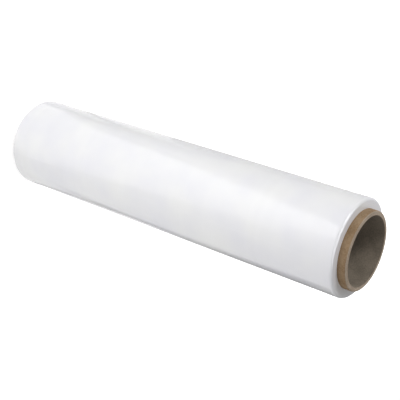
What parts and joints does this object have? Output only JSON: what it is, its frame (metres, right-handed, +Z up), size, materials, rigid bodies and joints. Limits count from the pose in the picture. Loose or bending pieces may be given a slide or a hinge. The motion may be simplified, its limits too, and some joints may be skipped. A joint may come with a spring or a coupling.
{
  "type": "stretch wrap roll",
  "caption": "Roll of clear stretch film wound on a cardboard core that sticks out past the film at both ends.",
  "frame": {"origin": "centre of the core's lower end, on the surface that the roll stands on", "axes": "+Z up along the roll's axis, towards the end that the picture shows; the roll is round, so X and Y are free"},
  "size_m": [0.107, 0.107, 0.4725],
  "materials": {
    "core_cardboard": "matte",
    "wound_film": "gloss"
  },
  "bodies": {
    "root": {"core": "core_cardboard", "film_roll": "wound_film"}
  },
  "joints": []
}
